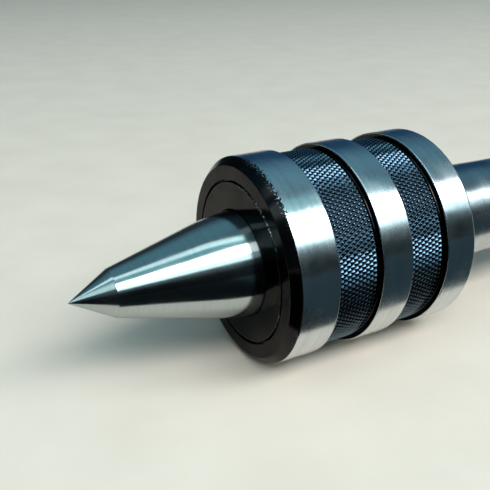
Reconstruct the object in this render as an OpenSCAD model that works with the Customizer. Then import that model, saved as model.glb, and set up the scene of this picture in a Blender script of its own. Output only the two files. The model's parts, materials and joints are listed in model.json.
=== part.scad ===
// Live center for a lathe tailstock: a 60 degree point that turns on its own bearings in a
// knurled body with a Morse taper shank.
// The axis lies along X. The origin is the centre of the taper's gauge plane, and the point
// faces -X, as it does when the center stands in the tailstock to the right of the work.
// Inside the modules, z is the distance along the axis from the gauge plane towards the point.

/* [Body] */
// Diameter of the ground lands
body_d = 60; // [59:0.5:64]
// Length from the rear face to the front face
body_len = 62; // [62:0.5:66]
// Chamfer between the front face and the first land
front_chamfer = 2.3; // [1:0.1:2.5]
// Width of the first ground land, at the front
land_1 = 11.7; // [11:0.1:12]
// Width of the first knurled band
band_1 = 14.1; // [12:0.1:14.5]
// Width of the second ground land
land_2 = 10; // [9:0.1:10.5]
// Width of the second knurled band
band_2 = 12.7; // [12:0.1:13]
// Width of the third ground land, at the rear
land_3 = 9.7; // [9:0.1:10]
// Depth of the knurled bands below the lands
band_depth = 1.4; // [1:0.1:1.8]
// Depth of the relief groove at each end of a knurled band
relief_depth = 1.9; // [1.6:0.1:2.4]
// Width of that relief groove
relief_w = 0.8; // [0.6:0.1:1.6]

/* [Taper shank] */
// Gauge diameter of the taper, Morse 4
taper_d = 31.267; // [31.267]
// Taper on diameter, as length over change
taper_rate = 19.254; // [19.254]
// Length from the gauge plane to the small end
taper_len = 102.5; // [90:0.5:102.5]
// Distance from the gauge plane to the body's rear face
standout = 6.5; // [6.5:0.5:8]
// Chamfer at the small end
shank_chamfer = 2; // [1:0.5:3]
// Diameter of the center hole's pilot in the small end
pilot_d = 4; // [3:0.5:5]

/* [Spindle] */
// Diameter of the spindle where it leaves the cover
spindle_d = 30.4; // [29:0.1:31]
// Distance from the front face to the tip
reach = 49; // [46:0.5:56]
// Diameter where the 60 degree point meets the slim cone
point_d = 13.2; // [10:0.1:16]
// Half angle of the slim cone behind the point
cone_half_angle = 14.6; // [12:0.1:16]
// Length over which the slim cone curves into the spindle in front of the body
blend_len = 13.5; // [9:0.5:16]
// Diameter of the ball bearing journal
journal_d = 25; // [25]
// Diameter of the tail in the needle bearing
tail_d = 17; // [17]

/* [Bearings] */
// Outer diameter of the two ball bearings
race_od = 47; // [47]
// Width of each ball bearing
race_w = 12; // [12]
// Balls in each ball bearing
ball_count = 12; // [10:1:13]
// Ball diameter of the ball bearings
ball_d = 6.35; // [6.35]
// Length of the ring pair between the ball bearings
spacer_w = 3; // [2:0.5:3]
// Outer diameter of the thrust bearing
thrust_od = 42; // [42]
// Height of the thrust bearing
thrust_h = 11; // [11]
// Balls in the thrust bearing
thrust_count = 14; // [10:1:14]
// Ball diameter of the thrust bearing
thrust_ball_d = 6; // [5.5:0.1:6]
// Outer diameter of the needle bearing's cup
needle_cup_d = 23; // [23]
// Length of the needle bearing's cup
needle_cup_len = 16; // [16:1:20]
// Needles in the needle bearing
needle_count = 18; // [14:1:20]
// Needle diameter
needle_d = 2; // [2]
// Needle length
needle_len = 12; // [9:0.5:12]

/* [Cover and seal] */
// Diameter of the front cover
cover_d = 47.6; // [47.6:0.1:48.4]
// Depth of the front cover in the housing
cover_depth = 7.5; // [7:0.5:8]
// Radial gap between the cover's front wall and the spindle
cover_gap = 0.3; // [0.2:0.05:0.5]
// Chamfer on the cover's front edge and on the mouth of the housing
gap_chamfer = 0.4; // [0.2:0.1:0.6]
// Outer diameter of the lip seal
seal_od = 40; // [39:0.5:41]
// Width of the lip seal
seal_w = 4.5; // [4:0.5:4.5]

/* [Hidden] */
$fn = 96;
// Radial play of running fits: balls and needles in their tracks, and the seal's lip
play = 0.05;
// Play of the cages, which never touch the races
cage_play = 0.4;
// Play of a ball or a needle in its cage pocket
pocket_play = 0.1;
// Depth of a ball track's shoulder as a share of the ball diameter
shoulder_share = 0.2;
// Half the angle of the lathe point, and of the center hole
point_half_angle = 30;
// Steps in the curve where the slim cone runs into the spindle
blend_steps = 6;

// Stations along the axis
body_back = standout;
body_front = body_back + body_len;
tip_z = body_front + reach;
cover_back = body_front - cover_depth;
front_race_back = cover_back - race_w;
rear_race_front = front_race_back - spacer_w;
rear_race_back = rear_race_front - race_w;
washer_t = 1.25;
washer_back = rear_race_back - washer_t;
nut_h = 6;
nut_back = washer_back - nut_h;
thrust_back = nut_back - thrust_h;
needle_front = 0;
needle_back = needle_front - needle_cup_len;
tail_end = needle_back - 3;
bore_end = tail_end - 2;
front_race_mid = cover_back - race_w / 2;
rear_race_mid = rear_race_front - race_w / 2;
thrust_mid = nut_back - thrust_h / 2;
needle_mid = needle_front - needle_cup_len / 2;

// Radii
body_r = body_d / 2;
band_r = body_r - band_depth;
relief_r = body_r - relief_depth;
journal_r = journal_d / 2;
tail_r = tail_d / 2;
race_r = race_od / 2;
cover_r = cover_d / 2;
ball_r = ball_d / 2;
pitch_r = (journal_r + race_r) / 2;
thrust_ball_r = thrust_ball_d / 2;
thrust_bore_r = thrust_od / 2 + 0.25;
thrust_pitch_r = (journal_r + thrust_od / 2) / 2;
cup_r = needle_cup_d / 2;
needle_r = needle_d / 2;
needle_pitch_r = tail_r + play + needle_r;
cup_inner_r = needle_pitch_r + needle_r + play;
cup_lip_r = tail_r + 0.3;
spindle_r = spindle_d / 2;
seal_r = seal_od / 2;
bore_chamfer = 0.5;

// Slot in the spindle for the tab washer
key_w = 4;
key_depth = 1.6;

// Radius of the Morse taper at a station
function taper_r(z) = (taper_d + z / taper_rate) / 2;

// Outline of one recessed band between two lands, with a relief groove at each end
function band_outline(back, front) = [
  [body_r, back], [relief_r, back], [relief_r, back + relief_w],
  [band_r, back + relief_w + band_r - relief_r],
  [band_r, front - relief_w - band_r + relief_r],
  [relief_r, front - relief_w], [relief_r, front], [body_r, front]
];

// Turns an outline of [radius, z] points about the axis, which is laid along -X
module turned(outline) {
  rotate([0, -90, 0]) rotate_extrude() polygon(outline);
}

// Copies its child around the axis
module around(count) {
  for (i = [0 : count - 1]) rotate([i * 360 / count, 0, 0]) children();
}

// A plain ring between two stations
module ring(inner, outer, back, front) {
  turned([[inner, back], [outer, back], [outer, front], [inner, front]]);
}

// A ring with a small chamfer on its outer edges
module chamfered_ring(inner, outer, back, front, c) {
  turned([[inner, back], [outer - c, back], [outer, back + c], [outer, front - c],
          [outer - c, front], [inner, front]]);
}

// The groove that balls run in: a torus of the ball's own size plus the play
module ball_track(pitch, radius, z) {
  rotate([0, -90, 0]) translate([0, 0, z])
    rotate_extrude() translate([pitch, 0]) circle(r = radius + play);
}

// Radius of a race's shoulder next to the track: outer for side 1, inner for side -1
function shoulder_r(side) = pitch_r + side * (ball_r - shoulder_share * ball_d);

// Outer race of an angular contact bearing. The shoulder on the open side is relieved, so
// the balls can be put in, and open is 1 when that side faces the point.
module outer_race(mid, open) {
  high = shoulder_r(1);
  low = race_r - 1.9;
  c = bore_chamfer;
  front = mid + race_w / 2;
  back = mid - race_w / 2;
  front_r = open > 0 ? low : high;
  back_r = open > 0 ? high : low;
  difference() {
    turned([[back_r, back], [race_r - c, back], [race_r, back + c], [race_r, front - c],
            [race_r - c, front], [front_r, front], [high, mid + open * 0.5],
            [high, mid - open * 0.5]]);
    ball_track(pitch_r, ball_r, mid);
  }
}

// Inner race, with its high shoulder on the side away from the outer race's high shoulder
module inner_race(mid, open) {
  high = shoulder_r(-1);
  low = journal_r + 1.9;
  c = bore_chamfer;
  front = mid + race_w / 2;
  back = mid - race_w / 2;
  front_r = open > 0 ? high : low;
  back_r = open > 0 ? low : high;
  difference() {
    turned([[journal_r, back + c], [journal_r + c, back], [back_r, back],
            [high, mid - open * 0.5], [high, mid + open * 0.5],
            [front_r, front], [journal_r + c, front], [journal_r, front - c]]);
    ball_track(pitch_r, ball_r, mid);
  }
}

// The balls of one bearing, on a circle of radius pitch at station z
module ball_ring(pitch, radius, count, z) {
  around(count) translate([-z, 0, pitch]) sphere(r = radius);
}

// Solid cage of an angular contact bearing, with a drilled pocket for each ball
module ball_cage(mid) {
  half_t = ball_r - shoulder_share * ball_d - cage_play;
  half_w = ball_r + 1;
  difference() {
    ring(pitch_r - half_t, pitch_r + half_t, mid - half_w, mid + half_w);
    around(ball_count)
      translate([-mid, 0, pitch_r - 2 * half_t]) cylinder(r = ball_r + pocket_play, h = 4 * half_t);
  }
}

// Washer of the thrust bearing, with the ball track in its inner face
module thrust_washer(inner, outer, back, front) {
  difference() {
    chamfered_ring(inner, outer, back, front, bore_chamfer);
    ball_track(thrust_pitch_r, thrust_ball_r, thrust_mid);
  }
}

module housing() {
  chamfer_back = body_front - front_chamfer;
  land_1_back = chamfer_back - land_1;
  land_2_front = land_1_back - band_1;
  land_2_back = land_2_front - land_2;
  land_3_front = land_2_back - band_2;
  land_3_back = land_3_front - land_3;
  rear_chamfer = land_3_back - body_back;
  shank_end = -taper_len;
  neck_r = taper_r(standout) - 0.4;
  neck_back = standout - 2.5;
  outside = concat(
    [[0, shank_end], [taper_r(shank_end) - shank_chamfer, shank_end],
     [taper_r(shank_end + shank_chamfer), shank_end + shank_chamfer],
     [taper_r(neck_back), neck_back], [neck_r, neck_back + 0.4], [neck_r, body_back],
     [body_r - rear_chamfer, body_back], [body_r, land_3_back]],
    band_outline(land_3_front, land_2_back),
    band_outline(land_2_front, land_1_back),
    [[body_r, chamfer_back], [body_r - front_chamfer, body_front]]
  );
  bore = [
    [cover_r + gap_chamfer, body_front], [cover_r, body_front - gap_chamfer],
    [cover_r, cover_back], [race_r, cover_back], [race_r, rear_race_back],
    [thrust_bore_r, rear_race_back], [thrust_bore_r, thrust_back],
    [cup_r + 0.5, thrust_back], [cup_r, thrust_back - 0.5], [cup_r, needle_back],
    [tail_r + 1, needle_back], [tail_r + 1, bore_end], [0, bore_end - 3]
  ];
  center_r = 4.25;
  pilot_r = pilot_d / 2;
  cone_len = (center_r - pilot_r) / tan(point_half_angle);
  color("dimgray")
    difference() {
      turned(concat(outside, bore));
      turned([[0, shank_end - 1], [center_r + 1, shank_end - 1], [center_r + 1, shank_end + 0.6],
              [center_r, shank_end + 0.6], [pilot_r, shank_end + 0.6 + cone_len],
              [pilot_r, shank_end + 12], [0, shank_end + 12 + pilot_r]]);
    }
}

module front_cover() {
  inner = spindle_r + cover_gap;
  c = gap_chamfer;
  wall_back = body_front - (cover_depth - seal_w);
  color("#1c1b1d")
    turned([[inner, body_front], [inner, wall_back], [seal_r, wall_back], [seal_r, cover_back],
            [cover_r, cover_back], [cover_r, body_front - 1.2], [cover_r - c, body_front - 1.2],
            [cover_r - c, body_front - c / 2], [cover_r - 1.5 * c, body_front]]);
}

// Lip seal: a stiff L-shaped back and a lip that rides on the spindle
module shaft_seal() {
  back = cover_back;
  front = cover_back + seal_w;
  lip_r = spindle_r + play;
  color("#2a2320")
    difference() {
      turned([[lip_r + 0.6, front], [seal_r, front], [seal_r, back + 0.4], [seal_r - 1.2, back + 0.4],
              [seal_r - 1.2, front - 1.4], [lip_r + 1.9, front - 1.4], [lip_r + 2.4, back + 1.2],
              [lip_r + 0.9, back + 0.4], [lip_r, back + 1.4]]);
      ball_track(lip_r + 2.4, 0.7, back + 1.9);
    }
}

module garter_spring() {
  color("silver")
    rotate([0, -90, 0]) translate([0, 0, cover_back + 1.9])
      rotate_extrude() translate([spindle_r + play + 2.4, 0]) circle(r = 0.7);
}

module front_outer_race() { color("lightsteelblue") outer_race(front_race_mid, 1); }
module front_inner_race() { color("lightsteelblue") inner_race(front_race_mid, 1); }
module front_balls() { color("gainsboro") ball_ring(pitch_r, ball_r, ball_count, front_race_mid); }
module front_cage() { color("goldenrod") ball_cage(front_race_mid); }

module outer_spacer() {
  color("silver") chamfered_ring(race_r - 3, race_r, rear_race_front, front_race_back, 0.3);
}

module inner_spacer() {
  color("silver") chamfered_ring(journal_r, journal_r + 3, rear_race_front, front_race_back, 0.3);
}

module rear_outer_race() { color("lightsteelblue") outer_race(rear_race_mid, -1); }
module rear_inner_race() { color("lightsteelblue") inner_race(rear_race_mid, -1); }
module rear_balls() { color("gainsboro") ball_ring(pitch_r, ball_r, ball_count, rear_race_mid); }
module rear_cage() { color("goldenrod") ball_cage(rear_race_mid); }

// Tab washer: one inner tab keys into the spindle's slot, and one of the outer tabs is bent
// into a slot of the lock nut
module lock_washer() {
  outer = journal_r + 5;
  tab_w = 3;
  color("silver")
    union() {
      ring(journal_r, outer, washer_back, rear_race_back);
      around(9) translate([-rear_race_back, -tab_w / 2, outer - 1]) cube([washer_t, tab_w, 2.5]);
      translate([-washer_back - 0.1, -tab_w / 2, outer - 0.4]) cube([4, tab_w, washer_t]);
      translate([-rear_race_back, -key_w / 2 + 0.1, -journal_r - 1])
        cube([washer_t, key_w - 0.2, 1 + key_depth - 0.2]);
    }
}

// Slotted lock nut on the spindle's thread
module lock_nut() {
  outer = journal_r + 6.5;
  slot_w = 5;
  slot_depth = 2;
  color("dimgray")
    difference() {
      chamfered_ring(journal_r, outer, nut_back, washer_back, 0.8);
      around(4)
        translate([-washer_back - 1, -slot_w / 2, outer - slot_depth])
          cube([nut_h + 2, slot_w, slot_depth + 1]);
    }
}

module thrust_shaft_washer() {
  color("lightsteelblue")
    thrust_washer(journal_r, thrust_od / 2 - 0.4, thrust_mid + 1.9, nut_back);
}

module thrust_housing_washer() {
  color("lightsteelblue")
    thrust_washer(journal_r + 0.6, thrust_od / 2 + 0.25, thrust_back, thrust_mid - 1.9);
}

module thrust_balls() {
  color("gainsboro") ball_ring(thrust_pitch_r, thrust_ball_r, thrust_count, thrust_mid);
}

// Flat cage between the thrust washers, drilled along the axis
module thrust_cage() {
  half_t = 1.9 - cage_play;
  color("goldenrod")
    difference() {
      ring(journal_r + 0.6, thrust_od / 2 - 0.4, thrust_mid - half_t, thrust_mid + half_t);
      around(thrust_count)
        translate([-thrust_mid - 2 * half_t, 0, thrust_pitch_r])
          rotate([0, 90, 0]) cylinder(r = thrust_ball_r + pocket_play, h = 4 * half_t);
    }
}

// Drawn cup with a lip at each end that keeps the needles in
module needle_cup() {
  lip_w = 0.9;
  color("lightsteelblue")
    turned([[cup_lip_r, needle_back], [cup_r - 0.4, needle_back], [cup_r, needle_back + 0.4],
            [cup_r, needle_front - 0.4], [cup_r - 0.4, needle_front], [cup_lip_r, needle_front],
            [cup_lip_r, needle_front - lip_w], [cup_inner_r, needle_front - lip_w],
            [cup_inner_r, needle_back + lip_w], [cup_lip_r, needle_back + lip_w]]);
}

module needle_rollers() {
  color("gainsboro")
    around(needle_count)
      translate([-needle_mid - needle_len / 2, 0, needle_pitch_r])
        rotate([0, 90, 0]) cylinder(r = needle_r, h = needle_len, $fn = 32);
}

// Cage with a window for each needle
module needle_cage() {
  half_len = needle_cup_len / 2 - 1.2;
  window_len = needle_len + 2 * pocket_play;
  window_w = needle_d + 2 * pocket_play;
  color("goldenrod")
    difference() {
      ring(needle_pitch_r - 0.65, needle_pitch_r + 0.65, needle_mid - half_len, needle_mid + half_len);
      around(needle_count)
        translate([-needle_mid - window_len / 2, -window_w / 2, needle_pitch_r - 2])
          cube([window_len, window_w, 4]);
    }
}

// Point, slim cone and its curved end outside, then the journals behind the bearing shoulder
module spindle() {
  point_r = point_d / 2;
  point_back = tip_z - point_r / tan(point_half_angle);
  blend_front = body_front + blend_len;
  blend_r = point_r + (point_back - blend_front) * tan(cone_half_angle);
  drop = (blend_r + blend_len * tan(cone_half_angle) - spindle_r) / (blend_len * blend_len);
  journal_back = thrust_back + 2;
  c = 0.8;
  color("gainsboro")
    difference() {
      turned([[0, tail_end], [tail_r - c, tail_end], [tail_r, tail_end + c],
              [tail_r, journal_back - c], [tail_r + c, journal_back], [journal_r - c, journal_back],
              [journal_r, journal_back + c], [journal_r, cover_back], [spindle_r - 0.3, cover_back],
              [spindle_r, cover_back + 0.3],
              for (k = [blend_steps:-1:0]) let (d = blend_len * k / blend_steps)
                [blend_r + d * tan(cone_half_angle) - drop * d * d, blend_front - d],
              [point_r, point_back], [0, tip_z]]);
      translate([-rear_race_back - 1, -key_w / 2, -journal_r - 1])
        cube([rear_race_back - nut_back + 2, key_w, 1 + key_depth]);
    }
}

housing();
front_cover();
shaft_seal();
garter_spring();
front_outer_race();
front_inner_race();
front_balls();
front_cage();
outer_spacer();
inner_spacer();
rear_outer_race();
rear_inner_race();
rear_balls();
rear_cage();
lock_washer();
lock_nut();
thrust_shaft_washer();
thrust_balls();
thrust_cage();
thrust_housing_washer();
needle_cup();
needle_rollers();
needle_cage();
spindle();
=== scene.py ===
# %% [markdown]
# # A live center for the lathe
# A live center holds the free end of a long workpiece in the tailstock. Its bright point turns
# with the work, on bearings hidden in a thick steel body, and the body's tapered shank is
# wedged in the quill. This lesson builds its looks around a fixed engineering model: round
# pieces are turned outlines, as on a lathe, and each finish is a small graph of nodes.
#
# The frame holds every piece at its real place, in metres, with the axis along X and the point
# facing -X. So nothing here is placed by eye: positions come from the frame's own boxes.

# %% Load the fixed frame
import json
import math

import bpy
import numpy as np
from mathutils import Matrix, Vector


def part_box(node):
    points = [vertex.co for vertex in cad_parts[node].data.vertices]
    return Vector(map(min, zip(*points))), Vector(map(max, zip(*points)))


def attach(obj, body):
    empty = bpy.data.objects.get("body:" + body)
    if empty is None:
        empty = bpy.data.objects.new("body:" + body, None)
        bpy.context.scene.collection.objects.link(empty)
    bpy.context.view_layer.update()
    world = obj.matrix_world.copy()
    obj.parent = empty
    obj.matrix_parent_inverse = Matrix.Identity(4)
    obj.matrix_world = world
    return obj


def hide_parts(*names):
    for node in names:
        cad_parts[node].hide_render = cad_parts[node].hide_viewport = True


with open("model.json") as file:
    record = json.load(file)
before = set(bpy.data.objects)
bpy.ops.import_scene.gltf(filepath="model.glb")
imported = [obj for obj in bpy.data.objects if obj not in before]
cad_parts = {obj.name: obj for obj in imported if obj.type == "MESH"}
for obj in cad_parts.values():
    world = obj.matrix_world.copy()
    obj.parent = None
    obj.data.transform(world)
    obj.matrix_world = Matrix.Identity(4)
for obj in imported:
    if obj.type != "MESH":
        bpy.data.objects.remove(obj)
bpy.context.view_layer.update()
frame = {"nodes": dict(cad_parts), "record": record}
MM = 0.001
print("nodes in the frame:", len(frame["nodes"]))

# %% [markdown]
# ## Stations along the axis
# A turner works from a list of stations: how far along the axis each diameter starts and ends.
# The ends of the pieces are read from the frame. The widths of the ground lands and the
# recessed bands are the body's own driving dimensions, in millimetres.

# %% Stations and radii
housing_low, housing_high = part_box("housing")
spindle_low, spindle_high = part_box("spindle")
_, cover_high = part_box("front_cover")
_, race_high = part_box("front_outer_race")
_, rear_race_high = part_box("rear_outer_race")
_, thrust_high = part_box("thrust_housing_washer")
_, cup_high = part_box("needle_cup")

body_r = housing_high.z
front_x = housing_low.x
shank_end_x = housing_high.x
tip_x = spindle_low.x
tail_x = spindle_high.x
cover_r = cover_high.z
race_r = race_high.z

front_chamfer = 2.3 * MM
land_widths = [11.7 * MM, 10.0 * MM, 9.7 * MM]
band_widths = [14.1 * MM, 12.7 * MM]
band_r = body_r - 1.4 * MM
relief_r = body_r - 1.9 * MM
relief_w = 0.8 * MM
standout = 6.5 * MM
rear_x = -standout

land_1 = (front_x + front_chamfer, front_x + front_chamfer + land_widths[0])
land_2 = (land_1[1] + band_widths[0], land_1[1] + band_widths[0] + land_widths[1])
land_3 = (land_2[1] + band_widths[1], land_2[1] + band_widths[1] + land_widths[2])
band_1 = (land_1[1], land_2[0])
band_2 = (land_2[1], land_3[0])
for name, land in (("land 1", land_1), ("land 2", land_2), ("land 3", land_3)):
    print(name, "from", round(land[0] / MM, 1), "to", round(land[1] / MM, 1), "mm")

# %% [markdown]
# ## Turned solids
# Every round piece is an outline of (x, radius) points swept about the X axis. Real turned
# edges are never perfectly sharp: a file or a stone breaks them, and that tiny rounding is what
# catches the light. So each corner of an outline is replaced by a short curve, with one more
# point just outside it that keeps the shading of the flat next to it flat.

# %% Outline and sweep helpers
EASED_STEPS = 4


def eased(outline, radius, support=0.06 * MM):
    """Rounds the corners of an outline. A corner P between two edges becomes the curve
    (1-t)^2 A + 2t(1-t) P + t^2 B, where A and B lie on the edges at the cut length, which is
    the radius or under 0.4 of the shorter edge. The radius is one number, or one for each
    corner. The outline's two ends stay as they are."""
    p = np.asarray(outline, float)
    step = np.diff(p, axis=0)
    length = np.linalg.norm(step, axis=1)
    way = step / length[:, None]
    corner, back, ahead = p[1:-1], -way[:-1], way[1:]
    cut = np.minimum(radius, 0.4 * np.minimum(length[:-1], length[1:]))[:, None]
    near = cut + np.minimum(support, 0.3 * cut)
    t = np.linspace(0, 1, EASED_STEPS + 1)[None, :, None]
    a, b = (corner + back * cut)[:, None], (corner + ahead * cut)[:, None]
    curve = (1 - t) ** 2 * a + 2 * t * (1 - t) * corner[:, None] + t**2 * b
    rounded = np.concatenate(
        [(corner + back * near)[:, None], curve, (corner + ahead * near)[:, None]], axis=1
    )
    return np.concatenate([p[:1], rounded.reshape(-1, 2), p[-1:]])


def swept(x, r, columns):
    """Points of a surface of revolution about X. x and r have one row per ring, and r may have
    a column per spoke: the point is (x, -r sin a, r cos a) at the angle a of its spoke."""
    angle = np.arange(columns) * 2 * np.pi / columns
    r = np.broadcast_to(np.asarray(r, float).reshape(len(x), -1), (len(x), columns))
    x = np.broadcast_to(np.asarray(x, float).reshape(-1, 1), r.shape)
    return np.stack([x, -r * np.sin(angle), r * np.cos(angle)], axis=-1)


def ring_faces(rows, columns, closed=False):
    """Quads between neighbouring rings. Spokes wrap round, and rings too when closed."""
    i = np.arange(rows if closed else rows - 1)[:, None]
    j = np.arange(columns)[None, :]
    here, up = i * columns, (i + 1) % rows * columns
    k = (j + 1) % columns
    return np.stack([here + j, here + k, up + k, up + j], axis=-1).reshape(-1, 4)


# %% [markdown]
# The points go into a mesh in one call. A closed shell has a volume, and its sign tells which
# way the faces point, so the same step that measures a piece also turns it right side out.

# %% Mesh helpers
def signed_volume(points, faces):
    """Sum of the tetrahedra that the faces make with the origin, in cubic metres."""
    a, b, c = points[faces[:, 0]], points[faces[:, 1]], points[faces[:, 2]]
    total = np.einsum("ij,ij->i", a, np.cross(b, c)).sum() / 6
    if faces.shape[1] == 4:
        d = points[faces[:, 3]]
        total += np.einsum("ij,ij->i", a, np.cross(c, d)).sum() / 6
    return total


def new_piece(name, points, quads, triangles=None, attributes=None):
    """Makes an object from arrays, turned so that its faces point outwards."""
    triangles = np.zeros((0, 3), int) if triangles is None else triangles
    volume = signed_volume(points, quads) + signed_volume(points, triangles)
    if volume < 0:
        quads, triangles = quads[:, ::-1], triangles[:, ::-1]
    mesh = bpy.data.meshes.new(name)
    mesh.from_pydata(points.tolist(), [], quads.tolist() + triangles.tolist())
    mesh.polygons.foreach_set("use_smooth", np.ones(len(mesh.polygons), bool))
    for label, values in (attributes or {}).items():
        layer = mesh.attributes.new(label, "FLOAT", "POINT")
        layer.data.foreach_set("value", np.asarray(values, np.float32).ravel())
    mesh.validate()
    mesh.update()
    piece = bpy.data.objects.new(name, mesh)
    bpy.context.scene.collection.objects.link(piece)
    print(f"{name}: {len(mesh.polygons)} faces, {abs(volume) * 1e6:.2f} cm3")
    return piece


def turned(name, outline, columns):
    """A solid of revolution whose outline starts and ends on the axis, with a point at each
    pole."""
    outline = np.asarray(outline, float)
    inner = outline[1:-1]
    grid = swept(inner[:, 0], inner[:, 1], columns).reshape(-1, 3)
    poles = np.array([[outline[0, 0], 0, 0], [outline[-1, 0], 0, 0]])
    points = np.concatenate([grid, poles])
    rows = len(inner)
    j = np.arange(columns)
    k = (j + 1) % columns
    last = (rows - 1) * columns
    start = np.stack([k, j, np.full(columns, len(grid))], axis=1)
    end = np.stack([last + j, last + k, np.full(columns, len(grid) + 1)], axis=1)
    return new_piece(name, points, ring_faces(rows, columns), np.concatenate([start, end]))


def turned_ring(name, outline, columns):
    """A ring: a closed outline that never touches the axis, swept about X."""
    outline = np.asarray(outline, float)
    points = swept(outline[:, 0], outline[:, 1], columns).reshape(-1, 3)
    return new_piece(name, points, ring_faces(len(outline), columns, closed=True))


# %% [markdown]
# ## Finishes
# One small function adds a node with its settings and links. A colour is written as the hex
# value that a painter would mix, and one function turns it into the linear light Blender uses.

# %% Node and colour helpers
def linear(hex_colour, alpha=1.0):
    """sRGB hex to linear RGBA: v/12.92 below 0.04045, else ((v+0.055)/1.055)^2.4."""
    v = np.array([int(hex_colour[i : i + 2], 16) / 255 for i in (1, 3, 5)])
    light = np.where(v <= 0.04045, v / 12.92, ((v + 0.055) / 1.055) ** 2.4)
    return (*light.tolist(), alpha)


def add(tree, kind, inputs=None, **settings):
    """Adds a node, sets its properties, and sets or links each input by name or number."""
    made = tree.nodes.new(kind)
    for key, value in settings.items():
        setattr(made, key, value)
    for key, value in (inputs or {}).items():
        if isinstance(value, bpy.types.NodeSocket):
            tree.links.new(value, made.inputs[key])
        else:
            made.inputs[key].default_value = value
    return made


def new_finish(name):
    """An empty material with its Principled shader joined to the output."""
    material = bpy.data.materials.new(name)
    material.use_nodes = True
    tree = material.node_tree
    tree.nodes.clear()
    shader = add(tree, "ShaderNodeBsdfPrincipled")
    add(tree, "ShaderNodeOutputMaterial", {"Surface": shader.outputs["BSDF"]})
    return material, tree, shader


def set_all(shader, **values):
    """Sets sockets that are the same all over the surface."""
    for key, value in values.items():
        shader.inputs[key.replace("_", " ")].default_value = value


# %% [markdown]
# ### The lathe's own grain
# Turning and grinding leave fine rings round the axis. On a cylinder they follow each other
# along X, and on a face they follow each other along the radius. One coordinate does both:
# x plus a share of the radius. Noise that is squeezed along it and stretched round the axis
# gives rings of uneven depth that fade in and out, as a real wheel leaves them.

# %% Ring grain
def axis_coordinates(tree):
    """x, y and z of the piece and its distance from the X axis, in metres."""
    place = add(tree, "ShaderNodeTexCoord").outputs["Object"]
    split = add(tree, "ShaderNodeSeparateXYZ", {0: place})
    flat = add(tree, "ShaderNodeVectorMath", {0: place, 1: (0, 1, 1)}, operation="MULTIPLY")
    radius = add(tree, "ShaderNodeVectorMath", {0: flat.outputs[0]}, operation="LENGTH")
    return place, split, radius.outputs["Value"]


def ring_grain(tree, ring_mm, arc_mm, detail=3.0):
    """Noise in rings about ring_mm apart that run about arc_mm round the axis: the noise is
    read at ((x + 0.6 r) / ring, y / arc, z / arc)."""
    _, split, radius = axis_coordinates(tree)
    along = add(tree, "ShaderNodeMath", {0: radius, 1: 0.6, 2: split.outputs["X"]},
                operation="MULTIPLY_ADD")
    scaled = [
        add(tree, "ShaderNodeMath", {0: value, 1: 1 / (size * MM)}, operation="MULTIPLY").outputs[0]
        for value, size in (
            (along.outputs[0], ring_mm), (split.outputs["Y"], arc_mm), (split.outputs["Z"], arc_mm)
        )
    ]
    spot = add(tree, "ShaderNodeCombineXYZ", {0: scaled[0], 1: scaled[1], 2: scaled[2]})
    noise = add(tree, "ShaderNodeTexNoise",
                {"Vector": spot.outputs[0], "Scale": 1.0, "Detail": detail, "Roughness": 0.6})
    return noise.outputs["Fac"]


def spots(tree, size_mm, low, high, stretch=(1, 1, 1), detail=2.0):
    """A mask of soft-edged spots: noise of that size, ramped from 0 at low to 1 at high."""
    place, _, _ = axis_coordinates(tree)
    moved = add(tree, "ShaderNodeMapping", {"Vector": place, "Scale": stretch})
    noise = add(tree, "ShaderNodeTexNoise",
                {"Vector": moved.outputs[0], "Scale": 1 / (size_mm * MM), "Detail": detail})
    return span(tree, noise.outputs["Fac"], low, high, 0, 1)


def span(tree, value, low, high, to_low, to_high):
    """Maps a value from one span to another, held at the ends."""
    return add(tree, "ShaderNodeMapRange",
               {"Value": value, "From Min": low, "From Max": high, "To Min": to_low,
                "To Max": to_high}).outputs["Result"]


def times(tree, a, b):
    """The product of two values."""
    return add(tree, "ShaderNodeMath", {0: a, 1: b}, operation="MULTIPLY").outputs[0]


def mixed(tree, share, a, b):
    """Blends two colours by a share from 0 to 1."""
    return add(tree, "ShaderNodeMix", {"Factor": share, "A": a, "B": b}, data_type="RGBA",
               ).outputs["Result"]


def bump(tree, height, depth_mm, strength=1.0, under=None):
    """A bump whose full height is depth_mm."""
    inputs = {"Height": height, "Distance": depth_mm * MM, "Strength": strength}
    if under is not None:
        inputs["Normal"] = under
    return add(tree, "ShaderNodeBump", inputs).outputs["Normal"]


# %% [markdown]
# ### Ground steel
# The lands and the shank are hardened steel finished on a cylindrical grinder. The wheel leaves
# rings a few hundredths of a millimetre apart, too fine to see one by one, that smear every
# reflection along the axis. Steel is a metal: its colour is in its reflection, and its default
# IOR stays. The rings are drawn 0.10 to 0.14 mm apart, which is coarser than real, so that they
# show.

# %% Ground steel
def knocked_side(tree):
    """1 on the side of the body that has been knocked most, 20 degrees to the front of its
    top, falling to 0 some 30 degrees to either side: the cosine of the angle from there."""
    place, _, radius = axis_coordinates(tree)
    toward = (0, -math.sin(math.radians(20)), math.cos(math.radians(20)))
    reach = add(tree, "ShaderNodeVectorMath", {0: place, 1: toward}, operation="DOT_PRODUCT")
    cosine = add(tree, "ShaderNodeMath", {0: reach.outputs["Value"], 1: radius},
                 operation="DIVIDE").outputs[0]
    return span(tree, cosine, 0.86, 0.95, 0, 1)


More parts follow.
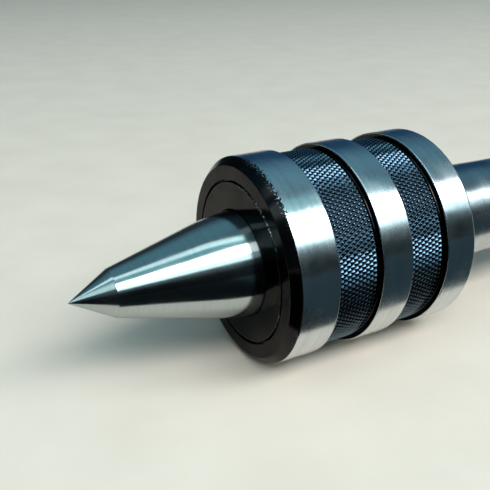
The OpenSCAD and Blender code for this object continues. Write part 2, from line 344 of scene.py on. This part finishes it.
def ground_steel(name, light, dark, rough, ring_mm, grain_depth_mm, smear, scratches=0.5,
                 film_x=None):
    """Bright steel with ring grain, cloudy handling stains and a few fine scratches. Black
    film is left in ragged patches on the first millimetre behind the station film_x."""
    material, tree, shader = new_finish(name)
    grain = ring_grain(tree, ring_mm, 30)
    broad = ring_grain(tree, ring_mm * 9, 60)
    cloud = spots(tree, 9, 0.35, 0.65)
    tone = times(tree, span(tree, broad, 0.3, 0.7, 0.4, 1), span(tree, cloud, 0, 1, 0.85, 1))
    shade = mixed(tree, tone, linear(dark), linear(light))
    marks = spots(tree, 1.4, 0.70, 0.76, stretch=(0.25, 2.6, 2.6), detail=1.0)
    marked = mixed(tree, times(tree, marks, scratches), shade, linear("#6d7478"))
    if film_x:
        _, split, _ = axis_coordinates(tree)
        near = span(tree, split.outputs["X"], film_x, film_x + 1.6 * MM, 0.5, 0)
        rag = spots(tree, 0.6, 0.2, 0.8, detail=4.0)
        patch = times(tree, near, knocked_side(tree))
        left = span(tree, add(tree, "ShaderNodeMath", {0: patch, 1: rag}).outputs[0],
                    0.82, 0.88, 0, 1)
        left = times(tree, left, span(tree, patch, 0.02, 0.1, 0, 1))
        marked = mixed(tree, left, marked, linear("#2c2c2e"))
    roughness = span(tree, add(tree, "ShaderNodeMath", {0: grain, 1: cloud}).outputs[0],
                     0.5, 1.5, rough * 0.85, rough * 1.2)
    tree.links.new(marked, shader.inputs["Base Color"])
    tree.links.new(roughness, shader.inputs["Roughness"])
    tree.links.new(bump(tree, grain, grain_depth_mm), shader.inputs["Normal"])
    tangent = add(tree, "ShaderNodeTangent", direction_type="RADIAL", axis="X")
    tree.links.new(tangent.outputs[0], shader.inputs["Tangent"])
    set_all(shader, Metallic=1.0, Anisotropic=smear, Anisotropic_Rotation=0.25)
    return material


land_steel = ground_steel("ground_land_steel", "#d3d6d7", "#b4b9bb", 0.23, 0.12, 0.0010, 0.55,
                          scratches=0.15, film_x=land_1[0])
point_steel = ground_steel("polished_point_steel", "#adb4b3", "#9ba2a2", 0.15, 0.10, 0.0004, 0.45,
                           scratches=0.2)
shank_steel = ground_steel("ground_taper_steel", "#c4c7c8", "#a9aeb0", 0.24, 0.14, 0.0012, 0.5)
print("ground steels:", land_steel.name, point_steel.name, shank_steel.name)

# %% [markdown]
# ### Black oxide
# The rest of the body is blackened: a hot salt bath turns the steel's own surface into a black
# oxide a micron thick, sealed with oil. It is as smooth as the turned metal under it, so it is
# glossy, nearly black, and faintly brown or blue where the bath was uneven. Where an edge has
# been knocked, the film chips and bare steel shows as small bright specks.

# %% Black oxide
def black_oxide(name, light, dark, rough, ring_mm, grain_depth_mm, edge_r=None):
    """Glossy black film over turned steel, chipped along the edge at the radius edge_r."""
    material, tree, shader = new_finish(name)
    grain = ring_grain(tree, ring_mm, 25)
    cloud = spots(tree, 7, 0.35, 0.65)
    film = mixed(tree, cloud, linear(dark), linear(light))
    roughness = span(tree, grain, 0.3, 0.7, rough * 0.8, rough * 1.3)
    if edge_r:
        _, _, radius = axis_coordinates(tree)
        edge = span(tree, radius, edge_r - 0.9 * MM, edge_r - 0.1 * MM, 0, 1)
        share = span(tree, knocked_side(tree), 0, 1, 0.25, 0.9)
        chips = times(tree, times(tree, edge, share), spots(tree, 0.5, 0.57, 0.62, detail=3.0))
        film = mixed(tree, chips, film, linear("#a9acae"))
        roughness = add(tree, "ShaderNodeMath", {0: chips, 1: 0.2, 2: roughness},
                        operation="MULTIPLY_ADD").outputs[0]
    tree.links.new(film, shader.inputs["Base Color"])
    tree.links.new(roughness, shader.inputs["Roughness"])
    dents = spots(tree, 1.8, 0.62, 0.72)
    under = bump(tree, dents, 0.004)
    tree.links.new(bump(tree, grain, grain_depth_mm, under=under), shader.inputs["Normal"])
    set_all(shader, Metallic=1.0, Specular_Tint=(0.7, 0.7, 0.7, 1.0))
    return material


body_black = black_oxide("black_oxide_turned", "#332f2d", "#222226", 0.12, 0.16, 0.0008, body_r)
cover_black = black_oxide("black_oxide_cover", "#312d2a", "#212124", 0.07, 0.14, 0.0004,
                          cover_r - 0.5 * MM)
print("black finishes:", body_black.name, cover_black.name)

# %% [markdown]
# ### Knurled black oxide
# A knurl is rolled before blackening, and the hand then polishes its crests. The mesh carries
# each point's height between groove and crest, so the finish can be dark in the grooves and
# worn grey on the tips. Plain black oxide is nearly neutral. This film is a lighter slate blue,
# set for this cool studio, so under neutral lamps it should be made darker and greyer.

# %% Knurl finish
def knurl_finish():
    """Black film, darker in the grooves, and worn grey and dull on the blunt crests."""
    material, tree, shader = new_finish("black_oxide_knurl")
    crest = add(tree, "ShaderNodeAttribute", attribute_name="crest").outputs["Fac"]
    patch = spots(tree, 2.5, 0.35, 0.65)
    flank = span(tree, crest, 0.0, 0.6, 0, 1)
    film = mixed(tree, flank, linear("#28333c"), linear("#3d5262"))
    top = times(tree, span(tree, crest, 0.8, 1.0, 0, 1), span(tree, patch, 0, 1, 0.4, 0.7))
    blunt = span(tree, crest, 0.9, 1.0, 0, 0.3)
    roughness = add(tree, "ShaderNodeMath", {0: blunt, 1: span(tree, patch, 0, 1, 0.09, 0.14)})
    tree.links.new(mixed(tree, top, film, linear("#8a9399")), shader.inputs["Base Color"])
    tree.links.new(roughness.outputs[0], shader.inputs["Roughness"])
    grit = spots(tree, 0.15, 0.2, 0.8, detail=3.0)
    tree.links.new(bump(tree, grit, 0.003), shader.inputs["Normal"])
    set_all(shader, Metallic=1.0)
    return material


knurl_black = knurl_finish()
print("knurl finish:", knurl_black.name)

# %% [markdown]
# ## The body
# The body is one piece of steel with its shank. Its outline runs from the center hole in the
# small end, along the Morse taper, over the rear face and the three lands, round the front
# chamfer, and back through the bores that hold the cover and the bearings. The taper narrows
# 1 mm on diameter for every 19.254 mm of length. It could be modelled as stacked cylinders, but
# one outline keeps it a single closed shell with the same edges as the turned part.

# %% Body outline
def taper_r(x):
    """Half of the gauge diameter, 31.267 mm, less 1 part in 19.254 of the distance x."""
    return (31.267 * MM - x / 19.254) / 2


journal_bore_r = thrust_high.z
cup_r = cup_high.z
hole_r = 4.25 * MM
pilot_r = 2 * MM
hole_depth = 0.6 * MM
cone_depth = (hole_r - pilot_r) / math.tan(math.radians(30))
shank_chamfer = 2 * MM
neck_r = taper_r(rear_x) - 0.4 * MM
neck_x = rear_x + 2.5 * MM
cover_back_x = cover_high.x
race_back_x = rear_race_high.x
thrust_back_x = thrust_high.x
cup_back_x = cup_high.x
tail_bore_r = 9.5 * MM
bore_end_x = tail_x + 2 * MM

small_end = [
    (shank_end_x - hole_depth - 12 * MM, 0), (shank_end_x - hole_depth - 11 * MM, pilot_r),
    (shank_end_x - hole_depth - cone_depth, pilot_r), (shank_end_x - hole_depth, hole_r),
    (shank_end_x - hole_depth, hole_r + 1 * MM), (shank_end_x, hole_r + 1 * MM),
    (shank_end_x, taper_r(shank_end_x) - shank_chamfer),
    (shank_end_x - shank_chamfer, taper_r(shank_end_x - shank_chamfer)),
    (neck_x, taper_r(neck_x)), (neck_x - 0.4 * MM, neck_r), (rear_x, neck_r),
]
rear_chamfer = rear_x - land_3[1]
lands = [
    (rear_x, body_r - rear_chamfer), (land_3[1], body_r), (land_3[0], body_r),
    (land_3[0], relief_r), (land_2[1], relief_r), (land_2[1], body_r), (land_2[0], body_r),
    (land_2[0], relief_r), (land_1[1], relief_r), (land_1[1], body_r), (land_1[0], body_r),
    (front_x, body_r - front_chamfer),
]
bores = [
    (front_x, cover_r), (cover_back_x, cover_r),
    (cover_back_x, race_r), (race_back_x, race_r), (race_back_x, journal_bore_r),
    (thrust_back_x, journal_bore_r), (thrust_back_x, cup_r), (cup_back_x, cup_r),
    (cup_back_x, tail_bore_r), (bore_end_x, tail_bore_r), (bore_end_x + 3 * MM, 0),
]
body_corners = np.array(small_end + lands + bores)
outside = body_corners[1:-1, 1] > body_r - 0.01 * MM
in_relief = np.abs(body_corners[1:-1, 1] - relief_r) < 0.01 * MM
eased_by = np.where(outside, 0.30 * MM, np.where(in_relief, 0.35 * MM, 0.12 * MM))
body_outline = eased(body_corners, eased_by)
print("body outline:", len(body_outline), "points")

# %% [markdown]
# Faces are shared out between the finishes by where they lie: ground on the lands and their
# eased edges, ground on the shank, and black everywhere else.

# %% Body piece
BODY_COLUMNS = 384
body_shell = turned("body_shell", body_outline, BODY_COLUMNS)


def face_middles(piece):
    """The middle of each face, as an array."""
    middles = np.empty(len(piece.data.polygons) * 3)
    piece.data.polygons.foreach_get("center", middles)
    return middles.reshape(-1, 3)


middle = face_middles(body_shell)
middle_r = np.hypot(middle[:, 1], middle[:, 2])
on_land = middle_r > body_r - 0.31 * MM
on_land &= middle[:, 0] > land_1[0] - 0.02 * MM
on_shank = (middle[:, 0] > neck_x - 0.1 * MM) & (middle_r > hole_r + 0.9 * MM)
on_shank &= middle_r > taper_r(middle[:, 0]) - shank_chamfer
for finish in (body_black, land_steel, shank_steel):
    body_shell.data.materials.append(finish)
body_shell.data.polygons.foreach_set(
    "material_index", np.where(on_land, 1, np.where(on_shank, 2, 0)).astype(np.int32)
)
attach(body_shell, "body")
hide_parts("housing")
print("land faces:", int(on_land.sum()), "shank faces:", int(on_shank.sum()))

# %% [markdown]
# ## The knurl
# A diamond knurl is rolled with two wheels whose teeth lean 30 degrees left and right. Each
# wheel leaves parallel V grooves, and where the two families cross they cut the metal into rows
# of little pyramids. The standard wheel here has 1.2 mm between teeth. Its size is trimmed so
# that a whole number of teeth goes round, or the last diamonds would be cut short.
#
# A bump map would look flat at the silhouette, and thousands of copied pyramids would be heavy
# and leave seams. So the surface is a height over the cylinder, with its grid laid on the same
# lattice as the grooves, so that every groove and crest falls on mesh points.

# %% Knurl lattice
tooth_pitch = 1.2 * MM
lean = math.radians(30)
knurl_depth = 0.40 * MM
crest_share = 0.8  # how full the pyramids are, where 1 is a sharp crest
teeth = round(2 * math.pi * band_r / (tooth_pitch / math.cos(lean)))
across = 2 * math.pi * band_r / teeth
along = across / math.tan(lean)
steps = 10  # grid lines from one groove to the next
print("teeth round the band:", teeth)
print("one diamond:", round(across / MM, 3), "by", round(along / MM, 3), "mm")


def pyramid(a, b):
    """Height from 0 in a groove to 1 on a sharp crest. u = a + b and v = a - b count the
    grooves of the two families, each groove has a straight flank 1 - |2 frac(u) - 1|, and the
    lower of the two flanks is the surface. The wheels do not fill to the top, so the crests
    stay a little blunt: the height stops at crest_share."""
    flank_u = 1 - np.abs(2 * np.mod(a + b, 1) - 1)
    flank_v = 1 - np.abs(2 * np.mod(a - b, 1) - 1)
    return np.minimum(np.minimum(flank_u, flank_v), crest_share)


def folded(quads, height):
    """Splits each quad along the diagonal with the most level ends, and of two level ones the
    lower. So the border of a blunt crest stays straight, and the fold of a groove stays a
    valley from end to end."""
    h = height[quads]
    first = h[:, 0] + h[:, 2] + 10 * np.abs(h[:, 0] - h[:, 2])
    second = h[:, 1] + h[:, 3] + 10 * np.abs(h[:, 1] - h[:, 3])
    one = np.where((first <= second)[:, None], quads[:, [0, 1, 2]], quads[:, [1, 2, 3]])
    two = np.where((first <= second)[:, None], quads[:, [0, 2, 3]], quads[:, [3, 0, 1]])
    return np.concatenate([one, two])


def sharpen(mesh, columns, twice_b, height):
    """Marks the pyramids' ridges sharp. They lie where 2a or 2b is whole, along the spokes
    and round the rings of the grid, so both ends of such an edge share a spoke or a ring. The
    borders of the blunt crests are sharp too: they are the slanting edges at full height."""
    ends = np.empty(len(mesh.edges) * 2, np.int64)
    mesh.edges.foreach_get("vertices", ends)
    ring, spoke = np.divmod(ends.reshape(-1, 2), columns)
    on_spoke = (spoke[:, 0] == spoke[:, 1]) & (spoke[:, 0] % (steps // 2) == 0)
    whole = np.abs(twice_b - np.round(twice_b)) < 1e-4
    on_ring = (ring[:, 0] == ring[:, 1]) & whole[ring[:, 0]]
    slanting = (spoke[:, 0] != spoke[:, 1]) & (ring[:, 0] != ring[:, 1])
    on_border = slanting & (height[ends.reshape(-1, 2)].min(axis=1) > 0.999)
    layer = mesh.attributes.new("sharp_edge", "BOOLEAN", "EDGE")
    layer.data.foreach_set("value", on_spoke | on_ring | on_border)


def knurled_band(name, band):
    """A sleeve with the knurl on its outside. The grooves run out through a 45 degree chamfer
    at each end, and the sleeve's inside is hidden under the floor of the recess."""
    start, end = band[0] + relief_w, band[1] - relief_w
    fine = along / steps
    x = np.arange(math.ceil(start / fine), math.floor(end / fine) + 1) * fine
    ends = np.linspace(0, band_r - relief_r, 6)
    x = np.unique(np.round(np.concatenate([x, start + ends, end - ends]), 8))
    a = np.arange(teeth * steps) / steps
    height = pyramid(a[None, :], x[:, None] / along)
    chamfer = relief_r + np.minimum(x - start, end - x)[:, None]
    r = np.minimum(band_r - knurl_depth * (crest_share - height), chamfer)
    hidden = relief_r - 0.3 * MM
    inside = np.full((1, r.shape[1]), hidden)
    points = swept(np.concatenate([x[:1], x, x[-1:]]), np.concatenate([inside, r, inside]),
                   r.shape[1]).reshape(-1, 3)
    crest = 1 - (band_r - r) / (knurl_depth * crest_share)
    values = np.concatenate([np.zeros_like(inside), np.clip(crest, 0, 1), np.zeros_like(inside)])
    quads = ring_faces(len(x) + 2, r.shape[1], closed=True)
    piece = new_piece(name, points, np.zeros((0, 4), int), folded(quads, values.ravel()),
                      {"crest": values})
    sharpen(piece.data, r.shape[1], np.concatenate([[1], 2 * x / along, [1]]), values.ravel())
    piece.data.materials.append(knurl_black)
    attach(piece, "body")
    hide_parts("housing")
    return piece


knurl_front = knurled_band("knurl_front", band_1)
knurl_rear = knurled_band("knurl_rear", band_2)

# %% [markdown]
# ## The front cover
# A flat black ring closes the body round the spindle and carries the oil seal behind it. A fine
# groove runs round it where its edge and the body's mouth are both broken, and that dark line
# is what tells the eye that it is a separate piece.

# %% Cover
COVER_COLUMNS = 320
cover_hole_r = 15.5 * MM
seal_pocket_r = 20 * MM
cover_wall = 3 * MM
edge = 0.5 * MM
cover_outline = [
    (front_x, cover_hole_r), (front_x + cover_wall, cover_hole_r),
    (front_x + cover_wall, seal_pocket_r), (cover_back_x, seal_pocket_r), (cover_back_x, cover_r),
    (front_x + 1.2 * MM, cover_r), (front_x + 1.2 * MM, cover_r - edge),
    (front_x + 0.45 * MM, cover_r - edge), (front_x, cover_r - edge - 0.26 * MM),
    (front_x, cover_hole_r),
]
cover_rim = eased([cover_outline[-2]] + cover_outline, 0.08 * MM)[1:-1]
cover_disc = turned_ring("cover_disc", cover_rim, COVER_COLUMNS)
cover_disc.data.materials.append(cover_black)
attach(cover_disc, "body")
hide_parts("front_cover")

# %% [markdown]
# ## The spindle
# The working end is a 60 degree point on a slimmer cone, so that a tool can reach the end of
# small work. The two cones meet in a crisp ring, but at its wide end the slim cone curves
# gently into the spindle, with no edge to start a crack. Behind the cover it steps down to the
# bearing journal and the tail. All of it is ground and polished.

# %% Spindle
SPINDLE_COLUMNS = 512
neck_end_r = 15.2 * MM
blend_len = 13.5 * MM
point_r = 6.6 * MM
point_x = tip_x + point_r / math.tan(math.radians(30))
journal_r = 12.5 * MM
tail_r = 8.5 * MM
journal_back_x = thrust_back_x - 2 * MM
step_chamfer = 0.8 * MM
slim = math.tan(math.radians(14.6))
blend_x = front_x - blend_len
blend_r = point_r + (blend_x - point_x) * slim
drop = (blend_r + blend_len * slim - neck_end_r) / blend_len**2
d = np.linspace(blend_len, 0, 28)
# The curve is a parabola in the distance d past the end of the straight cone.
blend = np.stack([blend_x + d, blend_r + slim * d - drop * d**2], axis=1)
hidden_end = [
    (tail_x, 0), (tail_x, tail_r - step_chamfer), (tail_x - step_chamfer, tail_r),
    (journal_back_x + step_chamfer, tail_r), (journal_back_x, tail_r + step_chamfer),
    (journal_back_x, journal_r - step_chamfer), (journal_back_x - step_chamfer, journal_r),
    (cover_back_x, journal_r), (cover_back_x, neck_end_r), (front_x, neck_end_r),
]
working_end = [
    (blend_x, blend_r), (point_x, point_r), (tip_x + 0.12 * MM, 0.10 * MM), (tip_x, 0),
]
# Only the true corners are eased. The curve between them is smooth already, and easing each of
# its points as well would make the piece twice as heavy for nothing.
ends = [eased(corners, 0.05 * MM) for corners in (hidden_end, working_end)]
spindle_outline = np.concatenate([ends[0], blend[1:-1], ends[1]])
spindle_piece = turned("spindle_point", spindle_outline, SPINDLE_COLUMNS)
spindle_piece.data.materials.append(point_steel)
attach(spindle_piece, "spindle")
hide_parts("spindle")

# %% [markdown]
# ## The parts inside
# The bearings, the seal and the nut are sealed in the body. Their shapes are already right in
# the frame, so they keep it, and each gets the finish of its real material: races ground and
# balls lapped from bearing steel, cages machined from brass, a nitrile rubber seal.

# %% Finishes of the hidden parts
def hidden_metal(name, light, dark, rough, ring_mm=0.2):
    """Turned or lapped metal with ring grain in its tone, roughness and surface."""
    material, tree, shader = new_finish(name)
    grain = ring_grain(tree, ring_mm, 20)
    cloud = spots(tree, 4, 0.35, 0.65)
    tone = times(tree, span(tree, grain, 0.3, 0.7, 0.5, 1), span(tree, cloud, 0, 1, 0.7, 1))
    tree.links.new(mixed(tree, tone, linear(dark), linear(light)), shader.inputs["Base Color"])
    roughness = span(tree, grain, 0.3, 0.7, rough * 0.8, rough * 1.3)
    tree.links.new(roughness, shader.inputs["Roughness"])
    tree.links.new(bump(tree, grain, 0.001), shader.inputs["Normal"])
    set_all(shader, Metallic=1.0)
    return material


def seal_rubber():
    """Moulded nitrile rubber: near black, matt, with fine mould grain and a trace of oil."""
    material, tree, shader = new_finish("moulded_nitrile_rubber")
    grain = spots(tree, 0.3, 0.3, 0.7, detail=4.0)
    oil = spots(tree, 5, 0.45, 0.6)
    tree.links.new(mixed(tree, grain, linear("#1b1714"), linear("#2c2621")),
                   shader.inputs["Base Color"])
    tree.links.new(span(tree, oil, 0, 1, 0.62, 0.35), shader.inputs["Roughness"])
    tree.links.new(bump(tree, grain, 0.01), shader.inputs["Normal"])
    set_all(shader, IOR=1.52)
    return material


hidden_finishes = {
    "bearing_steel": hidden_metal("ground_bearing_steel", "#c3c8cb", "#9aa2a7", 0.16),
    "ball_steel": hidden_metal("lapped_ball_steel", "#dcdfe1", "#c5cacd", 0.06, ring_mm=1.5),
    "cage_brass": hidden_metal("machined_brass", "#d8b25c", "#b08a3c", 0.26),
    "ring_steel": hidden_metal("turned_ring_steel", "#aeb2b4", "#868c90", 0.30),
    "spring_steel": hidden_metal("drawn_spring_wire", "#b5b8ba", "#8f9497", 0.25),
    "nut_steel": hidden_metal("black_oxide_nut", "#3b3937", "#252527", 0.30),
    "seal_rubber": seal_rubber(),
}
slot_of = {part["node"]: part["material_slot"] for part in frame["record"]["subparts"]}
replaced = {"housing", "front_cover", "spindle"}
for name, node in frame["nodes"].items():
    if name not in replaced:
        node.data.materials.clear()
        node.data.materials.append(hidden_finishes[slot_of[name]])
print("hidden parts finished:", len(frame["nodes"]) - len(replaced))

# %% [markdown]
# ## The studio
# Polished metal shows its surroundings more than itself, so the light is part of the finish. A
# plain pale floor lies under the body. A long soft lamp above the front makes the broad white
# band on the lands, and a dimmer one just under it lets the band fade out instead of ending in
# a line. A narrow strip overhead draws the second, thin stripe on the point, and a faint panel
# fills the gap between the two. A last panel beyond the point lights the end cone.
#
# Steel in an empty bright room looks like chalk. So black cards lie under and behind the lens,
# where only reflections meet them, and give the round pieces their dark lower half. The card on
# the floor is painted shade, in place of the shade that the camera and the person behind it cast
# there, and the upright card stands for their dark shapes.

# %% Floor
def floor_finish():
    """Pale matt board with a very faint tooth."""
    material, tree, shader = new_finish("pale_floor")
    place = add(tree, "ShaderNodeTexCoord").outputs["Object"]
    noise = add(tree, "ShaderNodeTexNoise", {"Vector": place, "Scale": 40.0, "Detail": 4.0})
    tone = mixed(tree, span(tree, noise.outputs["Fac"], 0.3, 0.7, 0, 1), linear("#d2bfb0"),
                 linear("#d8c5b6"))
    tree.links.new(tone, shader.inputs["Base Color"])
    set_all(shader, Roughness=0.6)
    return material


floor_mesh = bpy.data.meshes.new("floor")
half = 4.0
floor_z = -body_r - 0.05 * MM
floor_mesh.from_pydata(
    [(-half, -half, floor_z), (half, -half, floor_z),
     (half, half, floor_z), (-half, half, floor_z)],
    [], [(0, 1, 2, 3)],
)
floor = bpy.data.objects.new("floor", floor_mesh)
floor_mesh.materials.append(floor_finish())
bpy.context.scene.collection.objects.link(floor)
print("floor at", round(floor_z / MM, 2), "mm")

# %% Lamps
aim = Vector((front_x + 3.4 * MM, 2.1 * MM, 3.9 * MM))


def soft_lamp(name, way, along, distance, size, radiance, colour):
    """A rectangular lamp that faces the body, with its first side laid as near as can be to
    the direction along. Its power is the radiance it shows in a mirror, times pi and area."""
    lamp = bpy.data.lights.new(name, "AREA")
    lamp.shape = "RECTANGLE"
    lamp.size, lamp.size_y = size
    lamp.energy = radiance * math.pi * size[0] * size[1]
    lamp.color = linear(colour)[:3]
    holder = bpy.data.objects.new(name, lamp)
    way = Vector(way).normalized()
    first = (Vector(along) - way * way.dot(Vector(along))).normalized()
    turn = Matrix((first, way.cross(first), way)).transposed()
    holder.rotation_euler = turn.to_euler()
    holder.location = aim + way * distance
    bpy.context.scene.collection.objects.link(holder)
    return holder


soft_lamp("band_lamp", (0.12, -0.604, 0.788), (1, 0, 0), 2.0, (3.0, 0.67), 11.0, "#ecf9fc")
soft_lamp("band_fade", (0.12, -0.782, 0.612), (1, 0, 0), 2.0, (3.0, 0.52), 3.3, "#cdeef5")
soft_lamp("stripe_lamp", (-0.225, -0.01, 1.0), (-1, 0.5, 0), 2.0, (2.8, 0.42), 1.9, "#dcf6f9")
soft_lamp("gap_glow", (-0.02, -0.31, 0.95), (1, 0, 0), 2.0, (3.0, 0.72), 0.5, "#9af4ff")
soft_lamp("end_panel", (-0.72, -0.24, 0.65), (0, 1, 0), 2.0, (1.2, 0.5), 1.7, "#c8eaf0")

# %% Black cards of painted shade
def shade_card_finish():
    """Painted shade: matt card with a little fibre, black on the point's side and charcoal behind
    it.
    """
    material, tree, shader = new_finish("painted_shade_card")
    place = add(tree, "ShaderNodeTexCoord").outputs["Object"]
    fibre = add(tree, "ShaderNodeTexNoise", {"Vector": place, "Scale": 200.0})
    split = add(tree, "ShaderNodeSeparateXYZ", {0: place})
    side = span(tree, split.outputs["X"], -60 * MM, -35 * MM, 0, 1)
    black = mixed(tree, fibre.outputs["Fac"], linear("#0b0d10"), linear("#131619"))
    grey = mixed(tree, fibre.outputs["Fac"], linear("#242e33"), linear("#2c363b"))
    tree.links.new(mixed(tree, side, black, grey), shader.inputs["Base Color"])
    set_all(shader, Roughness=1.0, Specular_IOR_Level=0.0)
    return material


# The cards are painted shade. They are hidden from the lens, from diffuse light and from shadows,
# and darken only what the metal mirrors, where the camera and the person behind it shade the floor.
near_y, far_y = -36 * MM, -700 * MM
card_top = 240 * MM
wide = 900 * MM
card_z = floor_z + 0.5 * MM
shade_card_mesh = bpy.data.meshes.new("painted_shade_cards")
shade_card_mesh.from_pydata(
    [(-wide, near_y, card_z), (wide, near_y, card_z), (wide, far_y, card_z),
     (-wide, far_y, card_z), (-wide, far_y, card_top), (wide, far_y, card_top)],
    [], [(3, 2, 1, 0), (2, 3, 4, 5)],
)
shade_card_mesh.materials.append(shade_card_finish())
cards = bpy.data.objects.new("painted_shade_cards", shade_card_mesh)
bpy.context.scene.collection.objects.link(cards)
cards.visible_camera = False
cards.visible_diffuse = False
cards.visible_shadow = False
print("cards from", near_y / MM, "to", far_y / MM, "mm in front of the axis")

# %% [markdown]
# The room is what the metal mirrors between the lamps: dim and cool, deep blue low on the far
# side and paler overhead. The lens itself sees only a plain grey backdrop above the floor.

# %% Room
world = bpy.data.worlds.new("dim_room")
bpy.context.scene.world = world
world.use_nodes = True
tree = world.node_tree
tree.nodes.clear()
toward = add(tree, "ShaderNodeTexCoord").outputs["Generated"]
height = add(tree, "ShaderNodeSeparateXYZ", {0: toward})
low_wall = mixed(tree, span(tree, height.outputs["X"], 0.25, 0.42, 0, 1), linear("#35424a"),
                 linear("#1e4061"))
room = mixed(tree, span(tree, height.outputs["Z"], 0.42, 0.78, 0, 1), low_wall,
             linear("#6799ad"))
room = mixed(tree, span(tree, height.outputs["Y"], 0.3, -0.5, 0, 1), room, linear("#3a4a52"))
seen = add(tree, "ShaderNodeLightPath").outputs["Is Camera Ray"]
room = mixed(tree, seen, room, linear("#a9aca9"))
sky = add(tree, "ShaderNodeBackground", {"Color": room, "Strength": 1.0})
add(tree, "ShaderNodeOutputWorld", {"Surface": sky.outputs[0]})
print("room:", world.name)

# %% [markdown]
# ## The camera
# The picture is taken from in front and above, close enough that the point swells towards the
# lens. The camera turns about the front of the body: 28.9 degrees round from the side and 24.6
# degrees up, 203 mm away, with a 52 mm lens on a 36 mm frame.

# %% Camera
azimuth, elevation = math.radians(-28.87), math.radians(24.59)
distance = 202.67 * MM
outward = Vector((
    math.sin(azimuth) * math.cos(elevation),
    -math.cos(azimuth) * math.cos(elevation),
    math.sin(elevation),
))
lens = bpy.data.cameras.new("camera")
lens.lens = 52.22
lens.sensor_width = 36
lens.clip_start = 5 * MM
camera = bpy.data.objects.new("camera", lens)
camera.location = aim + outward * distance
camera.rotation_euler = outward.to_track_quat("Z", "Y").to_euler()
bpy.context.scene.collection.objects.link(camera)
bpy.context.scene.camera = camera
bpy.context.scene.view_settings.view_transform = "Standard"
print("camera at", [round(v / MM, 1) for v in camera.location])
